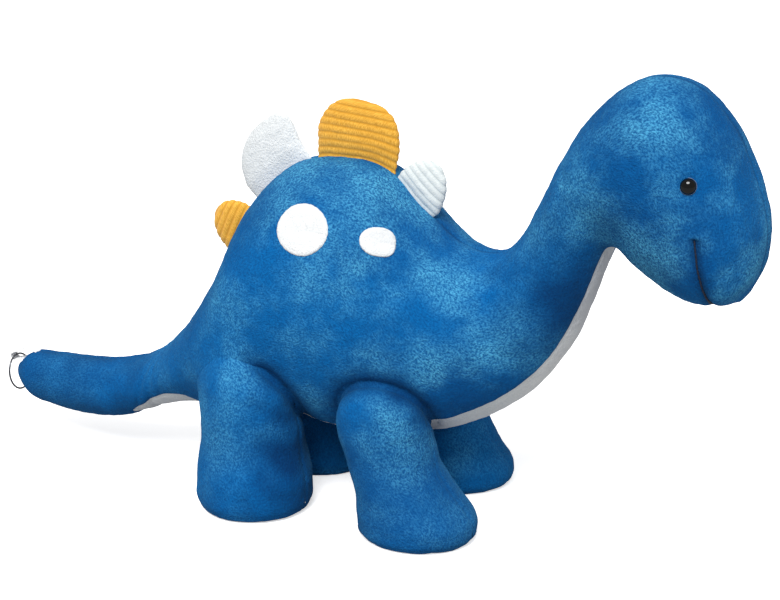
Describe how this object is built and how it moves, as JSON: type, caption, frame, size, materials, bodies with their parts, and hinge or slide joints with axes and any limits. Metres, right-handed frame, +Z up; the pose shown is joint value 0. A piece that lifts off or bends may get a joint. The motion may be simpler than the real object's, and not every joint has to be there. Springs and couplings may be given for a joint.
{
  "type": "stuffed toy dinosaur",
  "caption": "Stuffed long-necked dinosaur in short-pile plush, standing on its legs, with padded back plates, felt spots, button eyes and a wire ring at the tail",
  "frame": {"origin": "centre of the whole object's box in plan, on the surface that it stands on", "axes": "+X to the head, +Y to the animal's left, +Z up"},
  "size_m": [0.5441, 0.1716, 0.2992],
  "materials": {
    "blue_plush": "short-pile blue plush, brushed in patches",
    "white_plush": "white short-pile plush",
    "mustard_corduroy": "mustard wide-wale corduroy",
    "white_corduroy": "white wide-wale corduroy",
    "stuffing": "white polyester fibre",
    "eye_plastic": "black gloss",
    "washer_plastic": "natural white plastic",
    "dark_thread": "navy embroidery thread",
    "ribbon": "white woven tape",
    "wire": "bright steel wire"
  },
  "bodies": {
    "torso": {"torso_stuffing": "stuffing", "torso_panel_right": "blue_plush", "torso_panel_left": "blue_plush", "belly_gusset": "white_plush", "spot_large_right": "white_plush", "spot_large_left": "white_plush", "spot_small_right": "white_plush", "spot_small_left": "white_plush"},
    "head": {"head_stuffing": "stuffing", "head_panel_right": "blue_plush", "head_panel_left": "blue_plush", "throat_gusset": "white_plush", "eye_right": "eye_plastic", "eye_left": "eye_plastic", "eye_washer_right": "washer_plastic", "eye_washer_left": "washer_plastic", "mouth_stitching": "dark_thread"},
    "tail": {"tail_stuffing": "stuffing", "tail_panel_right": "blue_plush", "tail_panel_left": "blue_plush", "tail_ribbon": "ribbon"},
    "ring": {"tail_ring": "wire"},
    "leg_rear_right": {"leg_rear_right_stuffing": "stuffing", "leg_rear_right_outer_panel": "blue_plush", "leg_rear_right_inner_panel": "blue_plush"},
    "leg_rear_left": {"leg_rear_left_stuffing": "stuffing", "leg_rear_left_outer_panel": "blue_plush", "leg_rear_left_inner_panel": "blue_plush"},
    "leg_front_right": {"leg_front_right_stuffing": "stuffing", "leg_front_right_outer_panel": "blue_plush", "leg_front_right_inner_panel": "blue_plush"},
    "leg_front_left": {"leg_front_left_stuffing": "stuffing", "leg_front_left_outer_panel": "blue_plush", "leg_front_left_inner_panel": "blue_plush"},
    "plate_tail": {"plate_tail_cover": "mustard_corduroy", "plate_tail_batting": "stuffing"},
    "plate_rear": {"plate_rear_cover": "white_plush", "plate_rear_batting": "stuffing"},
    "plate_top": {"plate_top_cover": "mustard_corduroy", "plate_top_batting": "stuffing"},
    "plate_front": {"plate_front_cover": "white_corduroy", "plate_front_batting": "stuffing"}
  },
  "joints": [
    {"name": "neck_nod", "type": "hinge", "parent": "torso", "child": "head", "pos_m": [0.135, 0, 0.157], "axis": [0, 1, 0], "range_deg": [-10, 10], "stiffness_Nm_per_rad": 4},
    {"name": "tail_swing", "type": "hinge", "parent": "torso", "child": "tail", "pos_m": [-0.132, 0, 0.0675], "axis": [0, 0, 1], "range_deg": [-20, 20], "stiffness_Nm_per_rad": 1},
    {"name": "ring_swing", "type": "hinge", "parent": "tail", "child": "ring", "pos_m": [-0.27035, 0, 0.056], "axis": [0, 1, 0], "range_deg": [-5, 150]},
    {"name": "rear_right_leg_swing", "type": "hinge", "parent": "torso", "child": "leg_rear_right", "pos_m": [-0.052, -0.043, 0.074], "axis": [0, 1, 0], "range_deg": [-6, 6], "stiffness_Nm_per_rad": 4},
    {"name": "rear_left_leg_swing", "type": "hinge", "parent": "torso", "child": "leg_rear_left", "pos_m": [-0.052, 0.043, 0.074], "axis": [0, 1, 0], "range_deg": [-6, 6], "stiffness_Nm_per_rad": 4},
    {"name": "front_right_leg_swing", "type": "hinge", "parent": "torso", "child": "leg_front_right", "pos_m": [0.043, -0.043, 0.075], "axis": [0, 1, 0], "range_deg": [-6, 6], "stiffness_Nm_per_rad": 4},
    {"name": "front_left_leg_swing", "type": "hinge", "parent": "torso", "child": "leg_front_left", "pos_m": [0.043, 0.043, 0.075], "axis": [0, 1, 0], "range_deg": [-6, 6], "stiffness_Nm_per_rad": 4},
    {"name": "plate_tail_lean", "type": "hinge", "parent": "torso", "child": "plate_tail", "pos_m": [-0.08398, 0, 0.17141], "axis": [0.4064, 0, 0.9137], "range_deg": [-25, 25], "stiffness_Nm_per_rad": 0.03},
    {"name": "plate_rear_lean", "type": "hinge", "parent": "torso", "child": "plate_rear", "pos_m": [-0.05673, 0, 0.21607], "axis": [0.7338, 0, 0.6793], "range_deg": [-25, 25], "stiffness_Nm_per_rad": 0.03},
    {"name": "plate_top_lean", "type": "hinge", "parent": "torso", "child": "plate_top", "pos_m": [0.00593, 0, 0.23728], "axis": [0.9937, 0, -0.1123], "range_deg": [-25, 25], "stiffness_Nm_per_rad": 0.03},
    {"name": "plate_front_lean", "type": "hinge", "parent": "torso", "child": "plate_front", "pos_m": [0.05069, 0, 0.21345], "axis": [0.7179, 0, -0.6961], "range_deg": [-25, 25], "stiffness_Nm_per_rad": 0.03}
  ]
}
